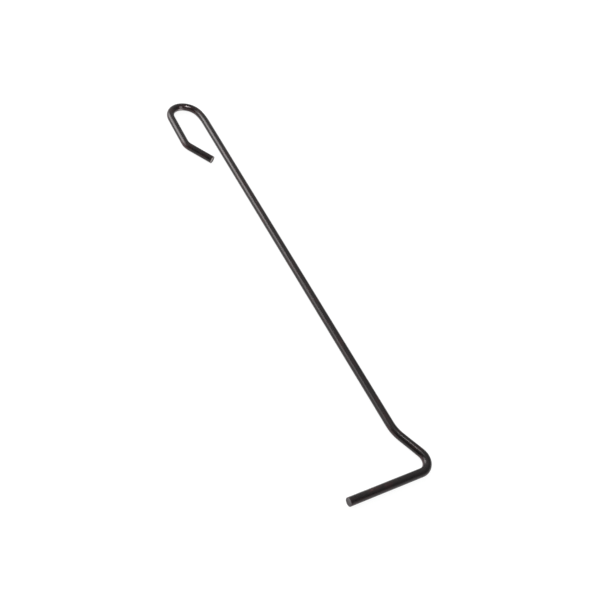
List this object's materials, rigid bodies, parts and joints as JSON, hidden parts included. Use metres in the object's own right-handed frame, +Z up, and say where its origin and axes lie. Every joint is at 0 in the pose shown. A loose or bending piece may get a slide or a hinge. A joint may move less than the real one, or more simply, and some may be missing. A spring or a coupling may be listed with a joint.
{
  "type": "tent stake hook rod",
  "caption": "Round steel wire rod with a round hook and turned-in tip at one end and a cranked cross leg at the other, for hooking and pulling tent stakes or lines.",
  "frame": {"origin": "middle of the rod's footprint, on the surface that it lies on", "axes": "+X along the shaft towards the hook, +Y to the side of the shaft that the hook and the cross leg are on, +Z up out of the plane of the bends"},
  "size_m": [0.3354, 0.0624, 0.0054],
  "materials": {
    "blackened_steel": "thin satin black finish on drawn steel wire, worn pale where the bends were formed and bare where the ends were cut"
  },
  "bodies": {
    "root": {"bent_rod": "blackened_steel"}
  },
  "joints": []
}
